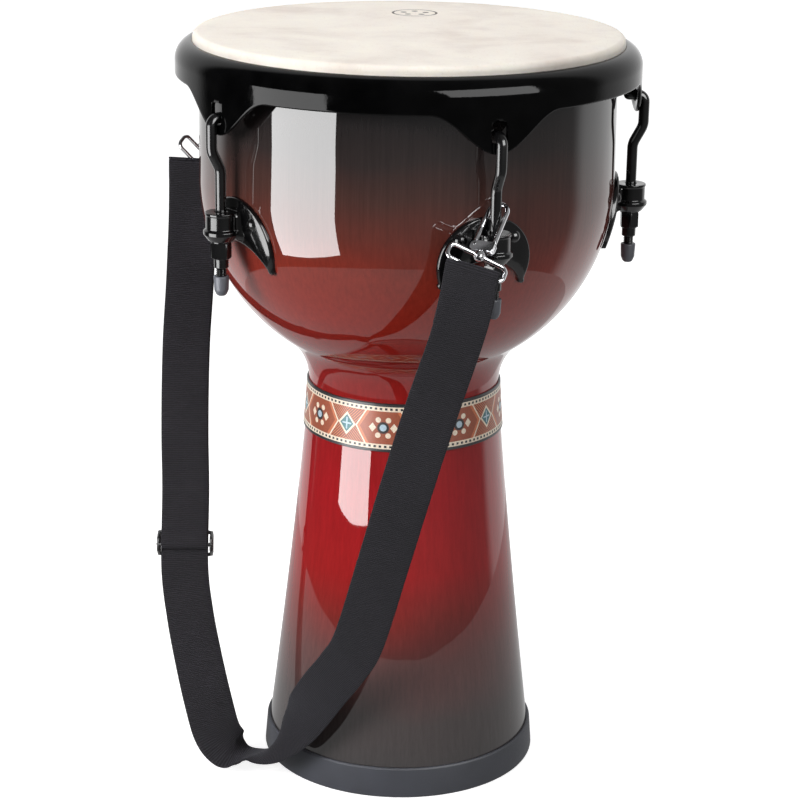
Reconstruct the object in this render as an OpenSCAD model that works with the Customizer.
// Djembe: goblet drum with a hook-tuned head and a carrying strap.
// Millimetres, +Z up. The origin is on the floor under the middle of the foot.
// Local lug frame: +X points out from the drum, +Y runs round it, +Z is up.

/* [Shell] */
// Height of the playing surface above the floor
drum_h = 578; // [570:0.5:585]
// Outside radius of the bowl at its widest
bowl_r = 157; // [155:0.5:158]
// Height of the widest place of the bowl
bowl_z = 468; // [464:1:472]
// Radius of the arc that shapes the bowl's side
bowl_arc_r = 150; // [145:1:155]
// Outside radius at the waist
throat_r = 73.9; // [70:0.1:76]
// Radius of the hollow curve between waist and bowl
fillet_r = 44; // [38:1:50]
// How much wider than the waist the foot is, on the radius
foot_flare = 33.1; // [30:0.1:34]
// Curvature of the leg: 1 is a straight cone
foot_curve = 1.17; // [1:0.01:1.4]
// Thickness of the wall
wall = 9; // [7:0.5:10]
// Outside radius of the thickened top edge
collar_r = 159.3; // [158.8:0.1:159.4]

/* [Foot and band] */
// Height of the rubber foot ring
foot_ring_h = 24; // [18:1:30]
// Outside radius of the foot ring on the floor
foot_ring_r = 108.3; // [108:0.1:110]
// Thickness of rubber under the shell
foot_pad = 3; // [2:0.5:4]
// Lower edge of the waist band
band_low = 272.4; // [268:0.2:276]
// Width of the waist band
band_w = 37.3; // [30:0.1:38]
// Thickness of the waist band
band_t = 1.2; // [0.8:0.1:1.6]

/* [Head and rim] */
// Thickness of the skin
skin_t = 1.5; // [1:0.1:1.6]
// Outside radius of the rim
rim_r = 174; // [173.5:0.1:175]
// Thickness of the rim's metal
rim_t = 3; // [2.5:0.1:3]
// Radius of the rim's rounded shoulder
rim_bend = 14; // [13.5:0.1:14.5]
// Lower edge of the rim between the tabs
rim_low = 546.3; // [544:0.1:548]
// How far each tab hangs below the rim
tab_drop = 28; // [26:0.5:29]
// Half the width of a tab where it meets the rim
tab_half_w = 49.5; // [44:0.5:54]

/* [Lugs] */
// Number of tuning lugs
lugs = 5; // [5]
// Angle of the first lug, from the front towards +X
first_lug = 21.2; // [18:0.1:24]
// Distance of the hook rods from the drum's axis
rod_offset = 171; // [170.5:0.1:171.5]
// Diameter of a hook rod
rod_d = 8; // [7.6:0.1:8]
// Diameter of the threaded end, taken at the thread's middle
thread_d = 7.2; // [7.1:0.05:7.25]
// Distance between the two bolts of a side plate
bolt_gap = 40; // [38:0.5:42]
// Height of the plate bolts
bolt_z = 456; // [455:0.5:457]
// Thickness of a side plate
plate_t = 3.2; // [2.8:0.1:3.4]

/* [Strap] */
// Width of the webbing
strap_w = 38; // [36:0.5:38]
// Thickness of the webbing
strap_t = 1.8; // [1.4:0.1:2]
// Thickness of the wire in the snap hooks and loops
wire_d = 3.4; // [3:0.1:3.4]

/* [Hidden] */
$fn = 96;
gap = 0.2;

// shell outline
bowl_cx = bowl_r - bowl_arc_r;
fillet_x = throat_r + fillet_r;
fillet_z = bowl_z - sqrt(pow(bowl_arc_r + fillet_r, 2) - pow(fillet_x - bowl_cx, 2));
join_angle = atan2(bowl_z - fillet_z, fillet_x - bowl_cx);
shell_top = drum_h - skin_t - 0.1;
barrel_top_r = bowl_r - 1;

// rim and tabs
bend_x = rim_r - rim_bend;
bend_z = rim_low + 11.2;
lip_angle = 81.5;
// each hook's end passes through a window in its tab, just above the window's lower edge
hook_z = 530.9;
window_low = hook_z - rod_d / 2 - 0.7;
window_high = hook_z + 11;
window_half_w = 6;
window_corner = 3.5;

// hoop under the rim
hoop_in = 163.2;
hoop_out = 169.6;
hoop_low = bend_z - 4.5;
hoop_high = bend_z + 4.5;
groove_r = 165;

// lug stack, from the top down
receiver_high = 463;
receiver_low = 442;
washer_t = 1.2;
nut_high = receiver_low - washer_t;
nut_h = 12;
nut_collar_h = 6.8;
nut_low = nut_high - nut_h - nut_collar_h;
cap_h = 15;
cap_r = 5.7;
cap_low = nut_low - 6 - cap_h;
rod_low = cap_low + 4.2;

// hook rod
rod_r = rod_d / 2;
hook_offset = rim_r + rod_r + 0.5;
sway = hook_offset - rod_offset;
sway_angle = 28;
sway_r = 14;
sway_low = 490;
sway_run = (sway - 2 * sway_r * (1 - cos(sway_angle))) / sin(sway_angle);
sway_high = sway_low + 2 * sway_r * sin(sway_angle) + sway_run * cos(sway_angle);
crook_r = 5.5;
crook_z = hook_z - crook_r;
// the rod's line in the lug's XZ plane: up past the shell, out round the rim, in through the tab
hook_line = concat(
    [[rod_offset, receiver_low]],
    arc(rod_offset + sway_r, sway_low, sway_r, 180, 180 - sway_angle, 4),
    arc(hook_offset - sway_r, sway_high, sway_r, -sway_angle, 0, 4),
    arc(hook_offset - crook_r, crook_z, crook_r, 0, 90, 6),
    [[hook_offset - crook_r - 7, hook_z]]);

// plate bolts
bolt_angle = asin(bolt_gap / 2 / bowl_r);
bolt_r = 2.2;
seat_x = bowl_cx + sqrt(pow(bowl_arc_r + gap + plate_t, 2) - pow(bowl_z - bolt_z, 2)) - 0.4;
inside_x = 146.3;

// snap hooks: which lug, height on its rod, direction, dip, and roll of the loop
wire_r = wire_d / 2;
snap_reach = 47;
front_snap_place = [0, 474.6, 245.7, 38, -33.4];
rear_snap_place = [3, 489, 236.4, 35.3, -65.2];
ring_half_w = 7;
nose_x = -4;
leg_end = 10;
base_x = 24;
base_l = 8;
base_t = 5.2;
hinge_at = [27, -6];
gate_r = 1.6;
pin_r = 1;
loop_wire_r = 1.5;
loop_bar_x = 35.5;
loop_half_w = strap_w / 2 + loop_wire_r + 0.7;
loop_corner = 3;

// strap route, chosen by hand: down the front, round the foot, up the left side
strap_route = [
    [45.4, -195, 443.9], [38, -184, 400], [21, -179, 343], [5, -172, 285], [-12, -162, 219],
    [-30, -146, 149], [-43, -135, 121], [-57, -122, 97], [-68, -108, 75], [-79, -92, 52],
    [-92, -78, 32], [-105, -67, 17], [-116, -62, 12], [-126, -60, 12], [-135, -58, 17],
    [-144, -52, 27], [-152, -39, 48], [-161, -20, 76], [-169, -2, 107], [-174, 11, 143],
    [-174, 26, 203], [-175, 36, 243], [-175, 44, 283], [-174, 51, 323], [-171, 56, 370],
    [-169.2, 59.5, 417.9], [-167.8, 58.1, 461]];
// the way the webbing's width points at each of those places
strap_lay = [
    [9.9, -1.7, -5.9], [9.7, 1.1, -3.7], [10, 0, -3], [10, 0, -3], [10, 0, -3],
    [10, -1, -3], [10, -2, -4], [9, -3, -5], [8, -5, -4], [5, -8, -2],
    [3, -9, 1], [0, -9, 3], [-2, -9, 2], [-4, -9, 0], [-7, -6, -4],
    [-9, -4, -3], [-10, -2, -2], [-10, -1, -2], [-10, 0, -1], [-10, 0, 0],
    [-10, 0, 0], [-10, 0, 0], [-10, 0, 0], [-10, 0, 0], [-10, 0, 2],
    [-8, 0.8, 2.7], [-9.3, -0.2, 11.5]];
strap_steps = 3;
// the doubled part starts at this place on the smoothed route, and lies this far behind
doubled_from = 59;
layer_step = strap_t + 0.5;

// slider on the straight stretch of the strap
slider_at = [-174, 15.25, 160];
slider_lean = -14.04;
slider_bar_r = 1.5;
slider_half_h = 9;
slider_half_w = strap_w / 2 + slider_bar_r + 0.7;

// ---------- outlines ----------

function arc(cx, cy, r, from, to, steps) =
    [for (i = [0 : steps]) let (a = from + (to - from) * i / steps) [cx + r * cos(a), cy + r * sin(a)]];

function flip(points) = [for (i = [len(points) - 1 : -1 : 0]) points[i]];

function leg_r(z) = throat_r + foot_flare * pow(max(0, (fillet_z - z) / fillet_z), foot_curve);

function leg_line(inset, low, high, steps) =
    [for (i = [0 : steps]) let (z = low + (high - low) * i / steps) [leg_r(z) - inset, z]];

// one face of the shell's wall, from the foot up; inset 0 is the outside
function wall_line(inset) = concat(
    leg_line(inset, foot_pad, fillet_z, 12),
    arc(fillet_x, fillet_z, fillet_r + inset, 180 - join_angle / 8, 180 - join_angle, 7),
    arc(bowl_cx, bowl_z, bowl_arc_r - inset, -join_angle * 11 / 12, 0, 11));

function unit(v) = v / norm(v);

function spline(p0, p1, p2, p3, t) =
    (2 * p1 + (p2 - p0) * t + (2 * p0 - 5 * p1 + 4 * p2 - p3) * t * t
     + (3 * p1 - p0 - 3 * p2 + p3) * t * t * t) / 2;

function smooth(list, steps) = let (last = len(list) - 1) concat(
    [for (i = [0 : last - 1]) for (k = [0 : steps - 1])
        spline(list[max(0, i - 1)], list[i], list[i + 1], list[min(last, i + 2)], k / steps)],
    [list[last]]);

// ---------- shell, foot and band ----------

module shell_body() {
    outer = concat(wall_line(0), [[barrel_top_r, rim_low + 2], [collar_r, rim_low + 10]],
                   arc(collar_r - 3, shell_top - 3, 3, 0, 90, 5));
    inner = flip(concat(wall_line(wall), [[bowl_r - wall, shell_top - 6]]));
    rotate_extrude() polygon(concat(outer, [[bowl_r - wall + 5, shell_top]], inner));
}

module shell() {
    color("#7a1f16") difference() {
        shell_body();
        each_bolt() bolt_line(130, 30, bolt_r + 0.05);
    }
}

module foot_ring() {
    color("#3a3f45") rotate_extrude() polygon(concat(
        [[92, 0], [foot_ring_r - 1, 0], [foot_ring_r, 1], [leg_r(foot_ring_h) + 2.4, foot_ring_h - 1],
         [leg_r(foot_ring_h) + 1.6, foot_ring_h]],
        flip(leg_line(-0.1, foot_pad - 0.1, foot_ring_h, 4)),
        [[92, foot_pad - 0.1]]));
}

module waist_band() {
    color("#b5502a") rotate_extrude() polygon(concat(
        leg_line(-gap - band_t, band_low, band_low + band_w, 8),
        flip(leg_line(-gap, band_low, band_low + band_w, 8))));
}

// ---------- head and rim ----------

module head_skin() {
    out = collar_r + 0.1 + skin_t;
    color("#e8dfce") rotate_extrude() polygon(concat(
        [[0, drum_h]],
        arc(out - 4.5, drum_h - 4.5, 4.5, 90, 0, 6),
        [[out, bend_z + 9.5], [groove_r + skin_t / 2, hoop_high + 0.6],
         [groove_r + skin_t / 2, hoop_high - 4.8], [groove_r - skin_t / 2, hoop_high - 4.8],
         [groove_r - skin_t / 2, hoop_high + 0.2], [out - skin_t, bend_z + 8.9]],
        arc(out - 4.5, drum_h - 4.5, 3, 0, 90, 6),
        [[0, drum_h - skin_t]]));
}

module flesh_hoop() {
    color("#b9bcc0") rotate_extrude() difference() {
        translate([hoop_in, hoop_low]) square([hoop_out - hoop_in, hoop_high - hoop_low]);
        translate([groove_r - skin_t / 2 - 0.05, hoop_high - 5]) square([skin_t + 0.1, 6]);
    }
}

// the rim's section turned all round, with its skirt as deep as the tabs
module rim_ring() {
    rotate_extrude() polygon(concat(
        [[rim_r, rim_low - tab_drop - 1]],
        arc(bend_x, bend_z, rim_bend, 0, lip_angle, 14),
        flip(arc(bend_x, bend_z, rim_bend - rim_t, 0, lip_angle, 14)),
        [[rim_r - rim_t, rim_low - tab_drop - 1]]));
}

// a tab's lower edge is one wave of a cosine, as wide as the tab
module tab_outline() {
    polygon(concat(
        [[-tab_half_w, rim_low + 5]],
        [for (i = [-12 : 12]) [tab_half_w * i / 12, rim_low + 0.5 - tab_drop * (1 + cos(15 * i)) / 2]],
        [[tab_half_w, rim_low + 5]]));
}

module tab_window() {
    hull() for (side = [-1, 1], z = [window_low + window_corner, window_high - window_corner])
        translate([side * (window_half_w - window_corner), z]) circle(r = window_corner, $fn = 24);
}

module rim() {
    color("#141414") difference() {
        intersection() {
            rim_ring();
            union() {
                translate([0, 0, rim_low]) cylinder(r = rim_r + 10, h = 40);
                for (i = [0 : lugs - 1]) at_lug(i)
                    translate([rim_r - 20, 0, 0]) rotate([90, 0, 90]) linear_extrude(40) tab_outline();
            }
        }
        for (i = [0 : lugs - 1]) at_lug(i)
            translate([rim_r - 20, 0, 0]) rotate([90, 0, 90]) linear_extrude(40) tab_window();
    }
}

// ---------- lugs ----------

module at_lug(i) rotate([0, 0, first_lug - 90 + 360 / lugs * i]) children();

module each_bolt() {
    for (i = [0 : lugs - 1], side = [-1, 1]) at_lug(i) rotate([0, 0, side * bolt_angle]) children();
}

module bolt_line(x, h, r) {
    translate([x, 0, bolt_z]) rotate([0, 90, 0]) cylinder(r = r, h = h);
}

// crescent with its tips down, drawn as seen from outside
module crescent() {
    difference() {
        translate([0, 437]) circle(r = 35);
        translate([0, 407.5]) circle(r = 31.8);
        translate([-40, 380]) square([80, 40]);
    }
    for (side = [-1, 1]) translate([side * 29.9, 421]) circle(r = 2.6);
}

module side_plate(i) {
    color("#161616") at_lug(i) difference() {
        union() {
            intersection() {
                rotate([0, 0, -30]) rotate_extrude(angle = 60) intersection() {
                    translate([bowl_cx, bowl_z]) difference() {
                        circle(r = bowl_arc_r + gap + plate_t);
                        circle(r = bowl_arc_r + gap);
                    }
                    translate([100, 400]) square([80, 90]);
                }
                rotate([90, 0, 90]) linear_extrude(200) crescent();
            }
            translate([bowl_r + gap + 0.3, -8, receiver_low + 1]) cube([rod_offset - bowl_r, 16, 19]);
            translate([rod_offset, 0, 0]) receiver_barrel();
        }
        translate([rod_offset, 0, receiver_low - 1]) cylinder(r = rod_r + 0.4, h = 30);
        for (side = [-1, 1]) rotate([0, 0, side * bolt_angle]) {
            bolt_line(140, 40, bolt_r + 0.2);
            bolt_line(seat_x, 20, 5.2);
        }
    }
}

module receiver_barrel() {
    rotate_extrude() polygon([
        [0, receiver_low], [9, receiver_low], [12.8, receiver_low + 5], [12.8, receiver_low + 7.5],
        [11, receiver_low + 9], [11, receiver_high - 2.5], [11.5, receiver_high - 1.5],
        [11.5, receiver_high - 0.5], [11, receiver_high], [0, receiver_high]]);
}

module plate_bolts() {
    color("#101010") each_bolt() {
        bolt_line(inside_x - 8, seat_x - inside_x + 8.05, bolt_r);
        translate([seat_x + 0.05, 0, bolt_z]) rotate([0, 90, 0]) rotate_extrude() intersection() {
            translate([0, -1.9]) circle(r = 5);
            square([4.6, 4]);
        }
    }
}

module plate_washers() {
    color("#8d9196") each_bolt() difference() {
        bolt_line(inside_x - 1.5, 1.5, 7.5);
        bolt_line(inside_x - 5, 10, bolt_r + 0.2);
    }
}

module plate_nuts() {
    color("#8d9196") each_bolt() difference() {
        translate([inside_x - 5.6, 0, bolt_z]) rotate([0, 90, 0]) cylinder(r = 4.62, h = 4, $fn = 6);
        bolt_line(inside_x - 10, 12, bolt_r + 0.05);
    }
}

module rod_washers() {
    color("#202020") for (i = [0 : lugs - 1]) at_lug(i)
        translate([rod_offset, 0, nut_high + 0.05]) difference() {
            cylinder(r = 7.6, h = washer_t - 0.1);
            translate([0, 0, -1]) cylinder(r = rod_r + 0.3, h = 4);
        }
}

module tension_nut(i) {
    color("#1b1b1b") at_lug(i) translate([rod_offset, 0, nut_low]) difference() {
        union() {
            cylinder(r = 5.3, h = nut_collar_h + 1);
            translate([0, 0, nut_collar_h]) cylinder(r = 7.5, h = nut_h, $fn = 6);
        }
        translate([0, 0, -1]) cylinder(r = thread_d / 2 + 0.05, h = 30);
    }
}

// ---------- hook rods ----------

// a round bar swept along a line in the XZ plane
module bent_bar(line, r, sides) {
    last = len(line) - 1;
    points = [for (i = [0 : last]) let (d = unit(line[min(last, i + 1)] - line[max(0, i - 1)]))
        for (k = [0 : sides - 1]) let (u = r * cos(360 * k / sides), v = r * sin(360 * k / sides))
            [line[i][0] + d[1] * u, v, line[i][1] - d[0] * u]];
    skin = [for (i = [0 : last - 1], k = [0 : sides - 1])
        let (a = i * sides + k, b = i * sides + (k + 1) % sides)
            each [[a, a + sides, b], [b, a + sides, b + sides]]];
    ends = [[for (k = [0 : sides - 1]) k], [for (k = [sides - 1 : -1 : 0]) last * sides + k]];
    polyhedron(points, concat(skin, ends));
}

module hook(i) {
    color("#121212") at_lug(i) {
        translate([rod_offset, 0, rod_low]) cylinder(r = thread_d / 2, h = receiver_low - rod_low + 3);
        bent_bar(hook_line, rod_r, 24);
    }
}

module rod_cap(i) {
    color("#5c6064") at_lug(i) translate([rod_offset, 0, cap_low]) difference() {
        rotate_extrude() polygon(concat(
            [[0, 0]], arc(cap_r - 4.9, 4.2, 4.2, -90, 0, 6), [[cap_r, cap_h - 0.6], [cap_r - 0.6, cap_h], [0, cap_h]]));
        translate([0, 0, 4]) cylinder(r = thread_d / 2 + 0.05, h = cap_h);
    }
}

// ---------- strap ----------

// a flat ribbon from one place on the path to another: one closed skin with four corners
// at each place; lift moves it off the path, out of its broad side
module ribbon(path, lay, from, to, w, t, lift) {
    end_place = len(path) - 1;
    along = [for (i = [0 : end_place]) unit(path[min(end_place, i + 1)] - path[max(0, i - 1)])];
    across = [for (i = [0 : end_place]) unit(lay[i] - along[i] * (lay[i] * along[i]))];
    corners = [for (i = [from : to], c = [[-1, -1], [1, -1], [1, 1], [-1, 1]])
        path[i] + across[i] * c[0] * w / 2 + cross(along[i], across[i]) * (lift + c[1] * t / 2)];
    count = to - from + 1;
    sides = [for (i = [0 : count - 2], k = [0 : 3]) let (a = 4 * i + k, b = 4 * i + (k + 1) % 4)
        each k < 2 ? [[a, b + 4, b], [a, a + 4, b + 4]] : [[a, a + 4, b], [a + 4, b + 4, b]]];
    end = 4 * (count - 1);
    polyhedron(corners, concat(sides, [[0, 1, 2, 3], [end + 3, end + 2, end + 1, end]]));
}

// the webbing, and its end that runs back down behind it from the rear loop to the slider
module strap_webbing() {
    path = smooth(strap_route, strap_steps);
    lay = smooth(strap_lay, strap_steps);
    top = len(path) - 1;
    color("#1c1d21") {
        ribbon(path, lay, 0, top, strap_w, strap_t, 0);
        ribbon(path, lay, doubled_from, top - 1, strap_w - 1, strap_t, -layer_step);
    }
}

// a wire bar along X from one place to another
module bar_x(from, to, y, r) translate([from, y, 0]) rotate([0, 90, 0]) cylinder(r = r, h = to - from);

// a wire bar along Y, centred
module bar_y(x, half, r) translate([x, -half, 0]) rotate([-90, 0, 0]) cylinder(r = r, h = 2 * half);

module wire_ring(x1, x2, half_w, corner, r) {
    for (x = [x1, x2]) bar_y(x, half_w - corner, r);
    for (side = [-1, 1]) bar_x(x1 + corner, x2 - corner, side * half_w, r);
    for (k = [0 : 3])
        translate([k == 0 || k == 3 ? x2 - corner : x1 + corner, k < 2 ? half_w - corner : corner - half_w, 0])
            rotate([0, 0, 90 * k]) rotate_extrude(angle = 90) translate([corner, 0]) circle(r = r);
}

module strap_slider() {
    color("#15161a") translate(slider_at) rotate([slider_lean, 0, 0]) slider_frame();
}

// X runs across the webbing and Z along it; the outer bars pass behind it, the middle one in front
module slider_frame() {
    front = -(strap_t / 2 + slider_bar_r + 0.6);
    back = strap_t / 2 + layer_step + slider_bar_r + 0.6;
    slider_bar(front, 0);
    for (z = [-slider_half_h, slider_half_h]) slider_bar(back, z);
    for (side = [-1, 1])
        translate([side * slider_half_w - 1.2, front - slider_bar_r, -slider_half_h - slider_bar_r])
            cube([2.4, back - front + 2 * slider_bar_r, 2 * (slider_half_h + slider_bar_r)]);
}

module slider_bar(y, z) {
    translate([-slider_half_w, y, z]) rotate([0, 90, 0]) cylinder(r = slider_bar_r, h = 2 * slider_half_w);
}

// snap parts: origin where the hook crosses the rod, +X towards the strap
module at_snap(place) {
    at_lug_point = rod_offset * [sin(first_lug + 360 / lugs * place[0]), -cos(first_lug + 360 / lugs * place[0])];
    translate([at_lug_point[0], at_lug_point[1], place[1]]) rotate([0, 0, place[2]]) rotate([0, place[3], 0])
        children();
}

module strap_loop(place) {
    color("#c9ccd0") at_snap(place) rotate([place[4], 0, 0]) difference() {
        union() {
            wire_ring(loop_bar_x, snap_reach, loop_half_w, loop_corner, loop_wire_r);
            bar_x(loop_bar_x - 2.2, loop_bar_x + 2, 0, 3.8);
        }
        bar_x(loop_bar_x - 5, loop_bar_x + 5, 0, 2.05);
    }
}

module snap_hook(place) {
    color("#d4d7da") at_snap(place) difference() {
        union() {
            translate([nose_x, 0, 0]) rotate([0, 0, 90]) rotate_extrude(angle = 180)
                translate([ring_half_w, 0]) circle(r = wire_r);
            bar_x(nose_x, base_x + 1, ring_half_w, wire_r);
            bar_x(nose_x, leg_end, -ring_half_w, wire_r);
            translate([base_x, -ring_half_w - wire_r, -base_t / 2])
                cube([base_l, 2 * (ring_half_w + wire_r), base_t]);
            bar_x(base_x + base_l - 1, loop_bar_x + 3, 0, 2);
            bar_x(loop_bar_x + 2.2, loop_bar_x + 3.7, 0, 3);
        }
        translate([base_x - 1, -ring_half_w - wire_r - 1, -1.8]) cube([base_l - 0.8, 6.6, 3.6]);
        translate([hinge_at[0], hinge_at[1], -5]) cylinder(r = pin_r + 0.02, h = 10);
    }
}

module snap_gate(place) {
    color("#c2c5c9") at_snap(place) difference() {
        union() {
            bar_x(leg_end + 0.3, hinge_at[0], -ring_half_w, gate_r);
            translate([hinge_at[0], hinge_at[1], -1.6]) cylinder(r = 2.6, h = 3.2);
        }
        translate([hinge_at[0], hinge_at[1], -5]) cylinder(r = pin_r + 0.05, h = 10);
    }
}

module gate_pin(place) {
    color("#aeb2b6") at_snap(place) translate([hinge_at[0], hinge_at[1], -base_t / 2 - 0.3])
        cylinder(r = pin_r, h = base_t + 0.6);
}

shell();
foot_ring();
waist_band();
head_skin();
flesh_hoop();
rim();
side_plate(0);  // side_plate_1
side_plate(1);  // side_plate_2
side_plate(2);  // side_plate_3
side_plate(3);  // side_plate_4
side_plate(4);  // side_plate_5
plate_bolts();
plate_washers();
plate_nuts();
rod_washers();
hook(0);  // hook_1
hook(1);  // hook_2
hook(2);  // hook_3
hook(3);  // hook_4
hook(4);  // hook_5
tension_nut(0);  // tension_nut_1
tension_nut(1);  // tension_nut_2
tension_nut(2);  // tension_nut_3
tension_nut(3);  // tension_nut_4
tension_nut(4);  // tension_nut_5
rod_cap(0);  // rod_cap_1
rod_cap(1);  // rod_cap_2
rod_cap(2);  // rod_cap_3
rod_cap(3);  // rod_cap_4
rod_cap(4);  // rod_cap_5
strap_webbing();
strap_slider();
strap_loop(front_snap_place);  // front_loop
strap_loop(rear_snap_place);  // rear_loop
snap_hook(front_snap_place);  // front_snap
snap_hook(rear_snap_place);  // rear_snap
snap_gate(front_snap_place);  // front_gate
snap_gate(rear_snap_place);  // rear_gate
gate_pin(front_snap_place);  // front_gate_pin
gate_pin(rear_snap_place);  // rear_gate_pin
